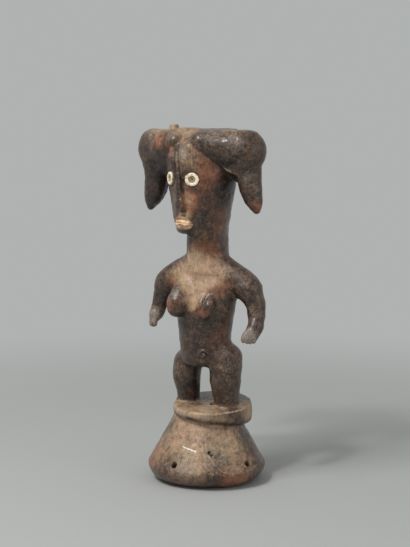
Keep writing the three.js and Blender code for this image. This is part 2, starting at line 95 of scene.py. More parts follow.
def add(tree, kind, settings=None, links=None):
    """One node of that kind. A link's value is a plain value, a node's socket, or a node whose first live
    output is meant."""
    node = tree.nodes.new(kind)
    for name, value in (settings or {}).items():
        setattr(node, name, value)
    for name, value in (links or {}).items():
        if isinstance(value, bpy.types.Node):
            value = next(out for out in value.outputs if out.enabled)
        if isinstance(value, bpy.types.NodeSocket):
            tree.links.new(value, node.inputs[name])
        else:
            node.inputs[name].default_value = value
    return node


def new_material(name):
    """An empty material, and its node tree with only the output in it."""
    material = bpy.data.materials.new(name)
    material.use_nodes = True
    material.node_tree.nodes.clear()
    return material, material.node_tree


PAPER, BACKGROUND = "#b4b5b3", "#b0b2b1"
FLOOR_RADIUS, FLOOR_SIDES = 4.0, 64
FADE_START, FADE_END = 0.35, 1.1
LAMP_AIM = Vector((0, 0, 0.22))


def studio_floor():
    """A round sheet of paper whose rim is clear."""
    rim = [
        (FLOOR_RADIUS * math.cos(a), FLOOR_RADIUS * math.sin(a), 0)
        for a in np.linspace(0, 2 * math.pi, FLOOR_SIDES, endpoint=False)
    ]
    mesh = bpy.data.meshes.new("studio_floor")
    mesh.from_pydata(rim, [], [range(len(rim))])
    floor = bpy.data.objects.new("studio_floor", mesh)
    scene.collection.objects.link(floor)
    material, tree = new_material("studio_paper")
    place = add(tree, "ShaderNodeTexCoord").outputs["Object"]
    reach = add(tree, "ShaderNodeVectorMath", {"operation": "LENGTH"}, {0: place})
    fade = add(
        tree,
        "ShaderNodeMapRange",
        {"interpolation_type": "SMOOTHSTEP"},
        {"Value": reach.outputs["Value"], "From Min": FADE_START, "From Max": FADE_END},
    )
    paper = add(tree, "ShaderNodeBsdfDiffuse", links={"Color": linear(PAPER)})
    clear = add(tree, "ShaderNodeBsdfTransparent")
    surface = add(tree, "ShaderNodeMixShader", links={0: fade, 1: paper, 2: clear})
    add(tree, "ShaderNodeOutputMaterial", links={"Surface": surface})
    mesh.materials.append(material)
    floor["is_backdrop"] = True


def soft_box(name, right, toward, up, size, watts):
    """A square lamp of that size that faces the middle of the figure. Its place is seen from the camera."""
    lamp = bpy.data.lights.new(name, "AREA")
    lamp.size = size
    lamp.energy = watts
    light = bpy.data.objects.new(name, lamp)
    light.location = right * camera_right + toward * toward_camera + Vector((0, 0, up))
    light.rotation_mode = "QUATERNION"
    light.rotation_quaternion = (LAMP_AIM - light.location).to_track_quat("-Z", "Y")
    scene.collection.objects.link(light)


studio_floor()
soft_box("key_light", right=-0.9, toward=0.7, up=1.7, size=0.7, watts=16)
soft_box("glint_light", right=-0.7, toward=0.9, up=1.6, size=0.16, watts=7)
soft_box("fill_light", right=1.6, toward=1.2, up=0.8, size=1.2, watts=4)
world = bpy.data.worlds.new("studio_air")
world.use_nodes = True
world.node_tree.nodes.clear()
air = add(world.node_tree, "ShaderNodeBackground", links={"Color": linear(BACKGROUND), "Strength": 1.0})
add(world.node_tree, "ShaderNodeOutputWorld", links={"Surface": air})
scene.world = world


# The figure: woman, hair, plate and flared base, carved with adze and knife from one block of hardwood. It
# is worked out as a field in millimetres, about the distance to the skin and less than zero inside, so that
# every form can flow into the next, and then skinned.
MM = 1000
BASE_RADIUS = 74.3
BASE_HEIGHT = 78
BASE_DEPTH = 0.95
LEG_SPREAD = 28
CROTCH_Z = 144
SHOULDER_Z = 250
NECK_RADIUS = 25.7
CHIN_Z = 308
EYE_Z = 376
HAIR_TOP_Z = 434.5
LOBE_REACH = 62.7
HEAD_Y = -10
FACE_TURN = -11
LEFT, RIGHT = 1, -1


def ramp(value, start, end):
    """0 before the start and 1 past the end, evenly in between. The end may be the lower one."""
    return np.clip((value - start) / (end - start), 0, 1)


def close_to(distance, reach, core=1.3):
    """1 near a place or a line, and 0 from a little past reach."""
    return np.clip(core - distance / reach, 0, 1)


def ellipsoid(centre, radii):
    def form(x, y, z):
        dx, dy, dz = ((v - c) / r for v, c, r in zip((x, y, z), centre, radii))
        share = np.sqrt(dx * dx + dy * dy + dz * dz)
        steepness = np.sqrt((dx / radii[0]) ** 2 + (dy / radii[1]) ** 2 + (dz / radii[2]) ** 2)
        return share * (share - 1) / np.maximum(steepness, 1e-6)

    return form


def bar(start, end):
    """A round bar from one (x, y, z, radius) to the next."""
    (ax, ay, az, ar), (bx, by, bz, br) = start, end
    lx, ly, lz = bx - ax, by - ay, bz - az
    length2 = lx * lx + ly * ly + lz * lz

    def form(x, y, z):
        t = np.clip(((x - ax) * lx + (y - ay) * ly + (z - az) * lz) / length2, 0, 1)
        gap2 = (x - ax - t * lx) ** 2 + (y - ay - t * ly) ** 2 + (z - az - t * lz) ** 2
        return np.sqrt(gap2) - ar - t * (br - ar)

    return form


def smooth_through(marks):
    """A value that runs smoothly through marks of (position, value), level at both ends."""
    at, value = np.array(marks, float).T
    slope = np.zeros(len(at))
    slope[1:-1] = (value[2:] - value[:-2]) / (at[2:] - at[:-2])

    def read(where):
        i = np.clip(np.searchsorted(at, where, side="right"), 1, len(at) - 1)
        span = at[i] - at[i - 1]
        t = np.clip((where - at[i - 1]) / span, 0, 1)
        bend = t * t * (3 - 2 * t)
        lean = slope[i - 1] * t * (1 - t) ** 2 - slope[i] * t * t * (1 - t)
        return value[i - 1] + (value[i] - value[i - 1]) * bend + span * lean

    return read


def column(marks):
    """An upright column, oval in plan, through marks of (z, half width, half depth, middle y)."""
    half_x, half_y, middle_y = (smooth_through([(m[0], m[n]) for m in marks]) for n in (1, 2, 3))

    def form(x, y, z):
        rx, ry = half_x(z), half_y(z)
        dx, dy = x / rx, (y - middle_y(z)) / ry
        share = np.sqrt(dx * dx + dy * dy)
        steepness = np.sqrt((dx / rx) ** 2 + (dy / ry) ** 2)
        return share * (share - 1) / np.maximum(steepness, 1e-6)

    return form


def above(level):
    return lambda x, y, z: level - z


def below(level):
    return lambda x, y, z: z - level


def merge(a, b, soft):
    """Two distances as one form, with a fillet about as wide as soft."""
    meet = np.maximum(soft - np.abs(a - b), 0) / soft
    return np.minimum(a, b) - meet * meet * soft / 4


def overlap(a, b, soft):
    """What two distances have in common, with an edge rounded about as wide as soft."""
    return -merge(-a, -b, soft)


def blend(a, b, soft):
    return lambda x, y, z: merge(a(x, y, z), b(x, y, z), soft)


def blend_all(forms, soft):
    made = forms[0]
    for form in forms[1:]:
        made = blend(made, form, soft)
    return made


def within(a, b, soft):
    return lambda x, y, z: overlap(a(x, y, z), b(x, y, z), soft)


def carved(a, tool, soft):
    return lambda x, y, z: overlap(a(x, y, z), -tool(x, y, z), soft)


def limb(stations, steps=10):
    """A smooth round limb through stations of (x, y, z, radius)."""
    marks = np.array(stations, float)
    lean = np.gradient(marks, axis=0)
    path = [marks[0]]
    for i in range(len(marks) - 1):
        for t in np.arange(1, steps + 1) / steps:
            bend = t * t * (3 - 2 * t)
            away, back = t * (1 - t) ** 2, t * t * (1 - t)
            path.append(marks[i] + (marks[i + 1] - marks[i]) * bend + lean[i] * away - lean[i + 1] * back)
    bars = [bar(tuple(a), tuple(b)) for a, b in zip(path, path[1:])]

    def form(x, y, z):
        made = bars[0](x, y, z)
        for part in bars[1:]:
            made = np.minimum(made, part(x, y, z))
        return made

    return form


TURN_X, TURN_Y = math.cos(math.radians(FACE_TURN)), math.sin(math.radians(FACE_TURN))


def turned(form):
    """A form of the face, turned with it about the upright line through the middle of the head."""
    return lambda x, y, z: form(
        x * TURN_X + (y - HEAD_Y) * TURN_Y, HEAD_Y - x * TURN_Y + (y - HEAD_Y) * TURN_X, z
    )


def sided(side, low, high):
    """A box on the left, or its mirror image on the right."""
    return (low, high) if side == LEFT else ((-high[0], *low[1:]), (-low[0], *high[1:]))


FAR_OFF = 14


def local(form, low, high):
    """A form that is worked out only near its own box. Further off, the distance to the box stands in."""

    def read(x, y, z):
        gap = np.maximum(low[0] - x, x - high[0])
        for v, a, b in ((y, low[1], high[1]), (z, low[2], high[2])):
            gap = np.maximum(gap, np.maximum(a - v, v - b))
        near = gap < FAR_OFF
        out = gap + FAR_OFF
        out[near] = form(x[near], y[near], z[near])
        return out

    return read


def leg(side):
    stout = 1.12 if side == LEFT else 1
    hip_z = CROTCH_Z + (10 if side == LEFT else 0)
    x = side * LEG_SPREAD + 1
    form = limb([
        (x, 0, hip_z, 17.8 * stout), (x, -2, CROTCH_Z - 14, 17.6 * stout),
        (x + 0.5, 0, CROTCH_Z - 40, 14.2 * stout), (x + 0.5, 0, CROTCH_Z - 56, 14.6 * stout),
    ])
    return local(form, (x - 21, -23, 66), (x + 21, 22, 174))


def torso():
    barrel = column([
        (CROTCH_Z, 33, 28, 0), (167, 32, 29.5, -2), (190, 34, 31, -2), (208, 36.5, 32.5, -2),
        (222, 39, 32, -1), (SHOULDER_Z - 8, 41, 30, 1), (SHOULDER_Z + 8, 37, 27, 3),
        (SHOULDER_Z + 22, 29, 25, 3),
    ])
    trunk = within(within(barrel, above(CROTCH_Z), 10), below(SHOULDER_Z + 22), 8)
    seat = [ellipsoid((side * 15, 16, 156), (17, 14, 17)) for side in (LEFT, RIGHT)]
    spine = bar((0, 38, 182, 5), (0, 35, SHOULDER_Z, 4))
    form = carved(blend_all([trunk, *seat], 8), spine, 6)
    return local(form, (-42, -35, CROTCH_Z - 4), (42, 34, SHOULDER_Z + 24))


def right_breast():
    return limb([
        (-18, -12, SHOULDER_Z + 2, 9), (-17.5, -27, SHOULDER_Z - 12, 12.5),
        (-17.5, -36, SHOULDER_Z - 24, 14.2), (-18.5, -37.5, SHOULDER_Z - 31, 12.8),
    ])


def left_breast():
    """Small and pointed below, split like a coffee bean by an upright groove."""
    outer = limb([
        (22.5, -25, SHOULDER_Z - 19, 4.6), (22, -30, SHOULDER_Z - 28, 6.6),
        (20, -32, SHOULDER_Z - 37, 5.4), (17, -32, SHOULDER_Z - 42, 3.4),
    ])
    inner = limb([
        (13, -28, SHOULDER_Z - 19, 4.4), (12, -31.5, SHOULDER_Z - 28, 5.6),
        (13.6, -33, SHOULDER_Z - 37, 4.6), (16.2, -32, SHOULDER_Z - 41.5, 3.2),
    ])
    return blend(outer, inner, 0.8)


ARMS = {
    LEFT: [
        (53, 6, SHOULDER_Z - 5, 17.2), (62.5, 6, SHOULDER_Z - 17, 13.9),
        (67.4, 5.5, SHOULDER_Z - 29, 12), (70.2, 1.5, 207, 10.4), (72.4, -5, 198, 9),
    ],
    RIGHT: [
        (-50, -5, SHOULDER_Z - 4, 16.8), (-58, -5, SHOULDER_Z - 18, 13.4),
        (-63, -6, SHOULDER_Z - 29, 11), (-66, -9, 208, 9.4), (-67.4, -12, 203, 8.8),
    ],
}
PALM = {LEFT: (72.4, -11, 192, 8.8), RIGHT: (-68.6, -14, 198, 8)}
FINGERS = {LEFT: (69.6, -16, 185.5, 9.6), RIGHT: (-69, -15.5, 193.5, 8.4)}
HAND_THINNER = 0.6


def arm(side):
    px, py, pz, _ = PALM[side]
    stations = [(side * 22, 2, SHOULDER_Z + 17, 15), *ARMS[side], (px, py, pz + 1, 5.6)]
    return local(limb(stations), *sided(side, (12, -28, 178), (90, 26, SHOULDER_Z + 34)))


HAND_TURN = math.radians(32)


def hand(side):
    """A flat paddle, broad from the side and squared off below, with three cuts between the fingers."""
    wrist, palm, fingers = ARMS[side][-1], PALM[side], FINGERS[side]
    middle_x, middle_y = palm[0], palm[1]
    c, s = math.cos(side * HAND_TURN), math.sin(side * HAND_TURN)

    def flat(x, y):
        """Across the hand and through it, from the middle of the palm."""
        dx, dy = x - middle_x, y - middle_y
        return dx * c + dy * s, dy * c - dx * s

    stations = []
    for px, py, pz, radius in (wrist, palm, fingers):
        across, through = flat(px, py)
        stations.append((across, through / HAND_THINNER, pz, radius))
    paddle = limb(stations, 6)

    def form(x, y, z):
        across, through = flat(x, y)
        made = HAND_THINNER * paddle(across, through / HAND_THINNER, z)
        made = overlap(made, fingers[2] - 6.4 - z, 1.6)
        tip = stations[-1][0]
        for place in (-4.6, 0, 4.4):
            off = np.abs(across - tip - place)
            made = made + 1.3 * np.maximum(1 - off / 1.1, 0) * ramp(z, fingers[2] + 1, fingers[2] - 1)
        return made

    x, y, z, radius = fingers
    return local(form, (x - 12, y - 12, z - 12), (x + 18, y + 18, z + 20))


HEAD_MARKS = [
    (286, 24, 26, HEAD_Y + 9), (300, 26, 30, HEAD_Y + 3), (313, 29.5, 33, HEAD_Y),
    (327, 33, 36, HEAD_Y), (349, 37.4, 39, HEAD_Y), (364, 40.2, 41, HEAD_Y), (381, 42.5, 43, HEAD_Y),
    (404, 43.5, 43.5, HEAD_Y), (440, 43, 43, HEAD_Y),
]
HEAD_SIDE = smooth_through([(mark[0], mark[1]) for mark in HEAD_MARKS])
HEAD_FRONT = smooth_through([(mark[0], mark[2]) for mark in HEAD_MARKS])
NOSE_FOOT = 339
NOSE_MIDDLE = smooth_through([(NOSE_FOOT, 3.4), (EYE_Z - 12, 2.6), (EYE_Z + 20, 0.3)])
NOSE_WIDTH = smooth_through([(NOSE_FOOT, 4.4), (NOSE_FOOT + 14, 3.8), (EYE_Z - 6, 2.9), (EYE_Z + 20, 2)])
NOSE_REACH = smooth_through([(NOSE_FOOT, 7.6), (NOSE_FOOT + 12, 6.4), (EYE_Z - 6, 3.6), (EYE_Z + 22, 0)])
RIB_LINE = smooth_through([(EYE_Z - 20, 2.6), (EYE_Z + 2, 1.4), (EYE_Z + 20, 0.2), (EYE_Z + 44, -2.4)])


def nose(x, y, z):
    """A long ridge with straight flanks that runs down from the brow and is cut off level below."""
    flank = np.abs(x - NOSE_MIDDLE(z)) - NOSE_WIDTH(z)
    front = HEAD_Y - HEAD_FRONT(z) - NOSE_REACH(z) - y
    bridge = overlap(overlap(0.95 * flank, front, 1.8), NOSE_FOOT - z, 1.2)
    return np.maximum(bridge, y - HEAD_Y + 20)


MOUTH_X, MOUTH_Z = 2, 321.8


def on_face(x, z):
    """The depth of the plain face there."""
    return HEAD_Y - HEAD_FRONT(z) * math.sqrt(1 - (x / HEAD_SIDE(z)) ** 2)


def upper_lip():
    """A thick lip that arches over the mouth."""
    arch = ((-10.5, 4.2, 1.2), (-6.5, 6.6, 2), (0, 7.8, 2.3), (6.5, 6.4, 2), (11, 3, 1.2))
    stations = []
    for across, lift, radius in arch:
        x, z = MOUTH_X + across, MOUTH_Z + lift
        stations.append((x, on_face(x, z) - 1.6, z, radius))
    return limb(stations, 4)


def mouth_lines(x, z):
    """How far off the parting of the lips and the wavy line of the teeth are."""
    across = x - MOUTH_X
    parting = np.abs(z - MOUTH_Z - 2.9 + 0.012 * across**2)
    return parting, np.abs(z - MOUTH_Z + 0.8 - 0.9 * np.sin(across * 0.55))


def lips(x, y, z):
    """A pursed oval mouth, cut along both lines."""
    made = ellipsoid((MOUTH_X, HEAD_Y - 34, MOUTH_Z), (11.8, 10.4, 6.1))(x, y, z)
    parting, teeth = mouth_lines(x, z)
    made = made + 1.2 * close_to(parting, 1.2, 1) * (np.abs(x - MOUTH_X) < 9)
    return made + 0.7 * close_to(teeth, 1.1, 1) * (np.abs(x - MOUTH_X) < 7)


mouth = local(lips, (-13, -58, 312), (18, -40, 330))


def face():
    """The head post with sockets, nose, forehead ribs and mouth, looking straight along -Y."""
    sockets = [ellipsoid((side * 20, HEAD_Y - 43, EYE_Z - 1), (13, 7, 13)) for side in (LEFT, RIGHT)]
    head = carved(column(HEAD_MARKS), blend(*sockets, 2), 6)
    ribbed = blend(head, nose, 1)
    for place, radius in ((-8.6, 4.4), (0, 1.9), (8.4, 4.6)):
        foot = (1.4 + 0.72 * place, HEAD_Y - 43.6 + radius, EYE_Z + 2, 0.7 * radius)
        middle = (0.2 + 0.9 * place, HEAD_Y - 45 + radius, EYE_Z + 20, radius)
        top = (-2.4 + place, HEAD_Y - 43.2 + radius, EYE_Z + 44, 0.9 * radius)
        ribbed = blend(ribbed, limb([foot, middle, top], 4), 0.8)

    def scored(x, y, z):
        """Two knife lines part the ribs, and run on down to the bridge of the nose."""
        made = ribbed(x, y, z)
        fade = ramp(z, EYE_Z - 22, EYE_Z - 14) * (y < HEAD_Y - 25)
        for side in (LEFT, RIGHT):
            made = made + 1.5 * fade * close_to(np.abs(x - RIB_LINE(z) - side * 3.1), 1.5, 1)
        return made

    def under_jaw(x, y, z):
        """The head is cut off under the chin, and flows into the neck on the left and at the back."""
        return CHIN_Z - 0.8 * np.maximum(x + 0.5 * (y + 46) - 4, 0) - z

    def parting(x, y, z):
        """The crown slopes down to the forehead between the two rolls of hair."""
        return (z - HAIR_TOP_Z - 2 - 0.83 * (y + 28)) / 1.3

    head = within(scored, under_jaw, 5)
    head = within(within(head, parting, 5), under_crown, 4)
    return blend(head, blend(mouth, upper_lip(), 0.6), 1)


def under_crown(x, y, z):
    """The top of the head is flat, and a little domed near the knob."""
    dome = 2.6 * np.exp(-((x + 14) ** 2 + (y + 24) ** 2) / 420)
    return z - HAIR_TOP_Z + 0.6 - dome


EDGE_FRONT = (-53, 417.5)
EDGE_SIDEWAYS = 0.38
EDGE_BACKWARDS = 0.58
LOBE_Y = -13


def over_hair_edge(x, y, z):
    """Less than zero above the slanting edge of the hair."""
    edge = EDGE_FRONT[1] - EDGE_SIDEWAYS * np.abs(x) - EDGE_BACKWARDS * (y - EDGE_FRONT[0])
    return (edge - z) / math.hypot(1, EDGE_SIDEWAYS, EDGE_BACKWARDS)


def hair_lobe(side):
    """A heavy roll of hair, flat on top, that ends in a hanging pointed tress."""
    root = (18, -41, HAIR_TOP_Z - 14, 12)
    inward, stouter, drop = 0, 0, 0
    if side == RIGHT:
        root = (-18, -41.5, HAIR_TOP_Z - 14, 10.5)
        inward, stouter, drop = 2.6, 1, 2.5
    stations = [
        root,
        (side * 38, -25, HAIR_TOP_Z - 21, 21.5),
        (side * (LOBE_REACH - 0.6), LOBE_Y, HAIR_TOP_Z - 22, 23.8),
        (side * (LOBE_REACH + 0.6), LOBE_Y, HAIR_TOP_Z - 38, 19),
    ]
    roll = limb(stations, 14)
    tress_x = LOBE_REACH - inward
    tress = limb([
        (side * (tress_x + 3.2), LOBE_Y + 1, HAIR_TOP_Z - 49, 16 + stouter),
        (side * (tress_x + 4.6), LOBE_Y + 2, HAIR_TOP_Z - 61, 14.4 + stouter),
        (side * (tress_x + 6.6), LOBE_Y + 2, HAIR_TOP_Z - 71 - drop, 13.2 + stouter),
        (side * (tress_x + 9.8), LOBE_Y + 2, HAIR_TOP_Z - 81 - drop, 10.8 + stouter),
        (side * (tress_x + 12.8), LOBE_Y + 2, HAIR_TOP_Z - 89 - drop, 7.6),
        (side * (tress_x + 14.4), LOBE_Y + 2, HAIR_TOP_Z - 94.5 - drop, 4.6),
    ])
    web = limb([(side * 40, -16, HAIR_TOP_Z - 40, 16), (side * 58, -11, HAIR_TOP_Z - 62, 15)], 2)
    form = within(blend(within(blend(roll, web, 6), over_hair_edge, 1.5), tress, 3), below(HAIR_TOP_Z), 4)
    return local(form, *sided(side, (0, -62, 328), (92, 26, 440)))


def crown():
    """The cap of hair behind the rolls, hidden by them from the front."""
    cap = column([(z, wide + 2, deep + 2, y) for z, wide, deep, y in HEAD_MARKS])

    def behind(x, y, z):
        return np.maximum(over_hair_edge(x, y, z), np.maximum(394 - z, HEAD_Y - 8 - y))

    return within(within(cap, behind, 2), under_crown, 6)


def top_knob():
    post = bar((-37.5, -14, HAIR_TOP_Z - 6, 6.8), (-37.5, -14, HAIR_TOP_Z + 4, 6.2))
    return within(post, below(HAIR_TOP_Z + 6), 2.5)


def flared_base():
    """A flared foot, widest a little above the ground, oval in plan."""
    flank = smooth_through([
        (0, BASE_RADIUS - 20), (3, BASE_RADIUS - 12), (9, BASE_RADIUS - 4.5),
        (17, BASE_RADIUS - 0.6), (22, BASE_RADIUS - 0.6), (36, BASE_RADIUS - 8.6),
        (52, BASE_RADIUS - 18), (66, BASE_RADIUS - 26), (BASE_HEIGHT + 4, BASE_RADIUS - 33),
    ])
    lean = 0.88

    def form(x, y, z):
        reach = np.sqrt(x * x + (y / BASE_DEPTH) ** 2)
        toward_left_front = (0.5 * x - 0.87 * y) / np.maximum(reach, 1)
        worn = 3.5 * np.clip(toward_left_front, 0, 1) ** 4 * ramp(z, 40, 0)
        return lean * (reach - flank(z) + worn)

    ends = within(above(0), below(BASE_HEIGHT + 4), 1)
    return local(within(form, ends, 1.5), (-75, -72, 0), (75, 72, BASE_HEIGHT + 4))


COLLAR_X, COLLAR_Y = 5, 7
COLLAR_RADIUS = 47.5
COLLAR_DEPTH = 1.12
COLLAR_RIM = smooth_through([
    (0, COLLAR_RADIUS - 5), (0.2, COLLAR_RADIUS - 1.2), (0.5, COLLAR_RADIUS),
    (0.85, COLLAR_RADIUS - 0.5), (1, COLLAR_RADIUS - 1.2),
])


def collar_planes(x, y):
    """The levels of its underside and its top."""
    return 75 - 0.083 * x - 0.112 * y, 95.6 - 0.03 * x + 0.06 * y


def collar(x, y, z):
    """The thick rounded plate under the feet. It tips a little to the front, and is thicker on the left."""
    low, top = collar_planes(x, y)
    level = (z - low) / (top - low)
    reach = np.sqrt((x - COLLAR_X) ** 2 + ((y - COLLAR_Y) / COLLAR_DEPTH) ** 2)
    side_gap = reach - COLLAR_RIM(level)
    return overlap(overlap(side_gap, z - top, 2.4), low - z, 3)


LASHING_TURNS = (-5, 79, 180, 270)
LASHING_RADIUS = 3.6


def lashing_hole(degrees):
    """A hole burnt from the flank of the base, slanting down and in to its underside."""
    c, s = math.cos(math.radians(degrees - 90)), math.sin(math.radians(degrees - 90))

    def at(share):
        radius = 46 + share * 23
        return (radius * c, radius * BASE_DEPTH * s, share * 30, LASHING_RADIUS)

    return bar(at(1.3), at(-0.1))


EYE_ANGLE = 26
EYE_RADIUS = 8.2
EYE_SEAT = 40.9


def eye_place(side):
    """The middle of an eye on the turned face, and the way that it looks."""
    turn = math.radians(side * EYE_ANGLE + FACE_TURN)
    out = np.array((math.sin(turn), -math.cos(turn), 0))
    return np.array((0, HEAD_Y, EYE_Z)) + EYE_SEAT * out, out


def eye_recess(side):
    middle, out = eye_place(side)
    along_floor, radius = -2.8, EYE_RADIUS + 0.3

    def form(x, y, z):
        dx, dy, dz = x - middle[0], y - middle[1], z - middle[2]
        along = dx * out[0] + dy * out[1]
        across = np.sqrt(np.maximum(dx * dx + dy * dy + dz * dz - along**2, 0))
        return np.maximum(across - radius, along_floor - along)

    low = middle - 14
    return local(form, tuple(low), tuple(low + 28))


adze_random = np.random.default_rng(7)
ADZE_WAVES = [
    (adze_random.normal(size=3), adze_random.uniform(0, 6.3), length, height)
    for length, height in [(38, 0.18)] * 4 + [(17, 0.08)] * 5 + [(8, 0.05)] * 6
]


def hewn(x, y, z):
    """The uneven surface that adze and knife leave, in mm off the even form."""
    made = 0
    for direction, start, length, height in ADZE_WAVES:
        kx, ky, kz = direction / np.linalg.norm(direction) * 2 * math.pi / length
        made = made + height * np.sin(kx * x + ky * y + kz * z + start)
    return made


def hair_cuts(x, y, z):
    """Slanting knife strokes on the root of the right hand roll of hair."""
    near = close_to(np.sqrt((x + 24) ** 2 + (y + 44) ** 2 + (z - 421) ** 2), 13, 1.4)
    across = np.abs(((0.86 * x + 0.5 * z) / 4.2) % 1 - 0.5)
    return 1.2 * near * close_to(across, 0.16, 1)


GOUGE_STEP, GOUGE_DEPTH = 5.2, 0.5


def across_view(x, y):
    """How far a place lies to the right, seen from the front left."""
    return x * camera_right.x + y * camera_right.y


def gouge_marks(x, y, z):
    """Curved strokes of a gouge on the front left of the base, from -1 on a crest to 1 in a groove."""
    reach = np.hypot(across_view(x, y) - 40, z - 60)
    patch = ramp(reach, 34, 38) * ramp(reach, 58, 52) * ramp(z, 62, 52) * ramp(z, 16, 24) * (y < 0)
    return patch * np.sin(reach * 2 * math.pi / GOUGE_STEP)


def navel():
    """A low arc over a small raised knot, on the front of the belly."""
    bow = [(7, -29.9, 159, 1), (9.5, -30.2, 164, 1.2), (15, -29.4, 166.5, 1.2), (20, -27.6, 163, 1)]
    arc = limb(bow, 4)
    knot = ellipsoid((14, -28.8, 160.5), (3.4, 1.5, 2.8))
    return local(blend(arc, knot, 1), (4, -38, 154), (24, -26, 172))


def figure_field():
    right_chest = local(right_breast(), (-46, -58, 200), (6, 12, SHOULDER_Z + 14))
    left_chest = local(left_breast(), (2, -46, 198), (34, -10, SHOULDER_Z - 8))
    trunk = blend_all([torso(), leg(LEFT), leg(RIGHT)], 7)
    upper = blend_all([trunk, arm(LEFT), arm(RIGHT)], 9)
    neck_marks = [
        (SHOULDER_Z + 12, 29, 28, 3), (SHOULDER_Z + 30, NECK_RADIUS, NECK_RADIUS, 3),
        (EYE_Z - 26, NECK_RADIUS, NECK_RADIUS, 3),
    ]
    neck_ends = within(above(SHOULDER_Z + 8), below(EYE_Z - 24), 4)
    neck = within(column(neck_marks), neck_ends, 8)
    neck = local(neck, (-31, -28, SHOULDER_Z + 8), (31, 32, EYE_Z - 24))
    turned_face = local(turned(face()), (-46, -62, 288), (46, 36, 438))
    hair = blend_all([local(crown(), (-48, -20, 392), (48, 38, 437)), hair_lobe(LEFT), hair_lobe(RIGHT)], 4)
    head = blend(turned_face, hair, 1.5)
    upper = blend(upper, navel(), 2)
    upper = blend(blend(upper, right_chest, 7), left_chest, 3.5)
    body = blend(blend(upper, neck, 6), head, 3.5)
    body = blend_all([body, local(top_knob(), (-45, -21, 424), (-32, -7, 442))], 2)
    body = blend(blend(body, hand(LEFT), 2), hand(RIGHT), 2)
    foot = blend(flared_base(), local(collar, (-45, -49, 62), (55, 63, 100)), 2.5)
    body = blend(within(body, above(90), 1), foot, 4)
    for degrees in LASHING_TURNS:
        body = carved(body, lashing_hole(degrees), 1)
    for side in (LEFT, RIGHT):
        body = carved(body, eye_recess(side), 0.3)
    body = carved(body, bar((10.5, -6.5, 88, 4.2), (14, 4, 101, 4.2)), 1)

    def finished(x, y, z):
        """With the marks of the tools, all but on the underside."""
        tooled = hewn(x, y, z) + hair_cuts(x, y, z) + GOUGE_DEPTH * gouge_marks(x, y, z)
        return body(x, y, z) + tooled * ramp(z, 3, 9)

    return finished


SQUARE = ((0, 0), (1, 0), (1, 1), (0, 1))
UNITS = np.eye(3, dtype=int)


def settle(sample):
    """Where the corners of a grid square lie in and out by turns, the skin would touch itself. The inner
    corner nearest to the skin is then put outside."""
    moved = True
    while moved:
        moved = False
        for u, v in ((0, 1), (1, 2), (2, 0)):
            cuts = [[slice(None)] * 3 for _ in SQUARE]
            for cut, (du, dv) in zip(cuts, SQUARE):
                cut[u] = slice(du, sample.shape[u] - 1 + du)
                cut[v] = slice(dv, sample.shape[v] - 1 + dv)
            a, b, c, d = (sample[tuple(cut)] < 0 for cut in cuts)
            for place in np.argwhere((a == c) & (b == d) & (a != b)):
                corners = [tuple(place + du * UNITS[u] + dv * UNITS[v]) for du, dv in SQUARE]
                inner = [corner for corner in corners if sample[corner] < 0]
                if len(inner) == 2:
                    sample[max(inner, key=lambda corner: sample[corner])] = 0.01
                    moved = True


def sampled(form, axes):
    """The field on the whole grid: coarsely first, then finely wherever the skin is near."""
    coarse = 4
    rough_axes = [axis[::coarse] for axis in axes]
    rough = form(*(v.ravel() for v in np.meshgrid(*rough_axes, indexing="ij")))
    rough = rough.reshape([len(axis) for axis in rough_axes])
    nearest = [(np.arange(len(axis)) + coarse // 2) // coarse for axis in axes]
    sample = rough[np.ix_(*(np.minimum(pick, size - 1) for pick, size in zip(nearest, rough.shape)))]
    near = np.abs(sample) < 2.4 * coarse * (axes[0][1] - axes[0][0])
    places = np.nonzero(near)
    sample[near] = form(*(axis[place] for axis, place in zip(axes, places)))
    return sample


def slope_of(form, points, reach=0.4):
    """The field and its slope at points, from four samples around each."""
    corners = np.array([(1, 1, 1), (1, -1, -1), (-1, 1, -1), (-1, -1, 1)]) * reach
    values = [form(*(points + corner).T.copy()) for corner in corners]
    slope = sum(value[:, None] * corner for value, corner in zip(values, corners)) / (4 * reach * reach)
    return sum(values) / 4, slope


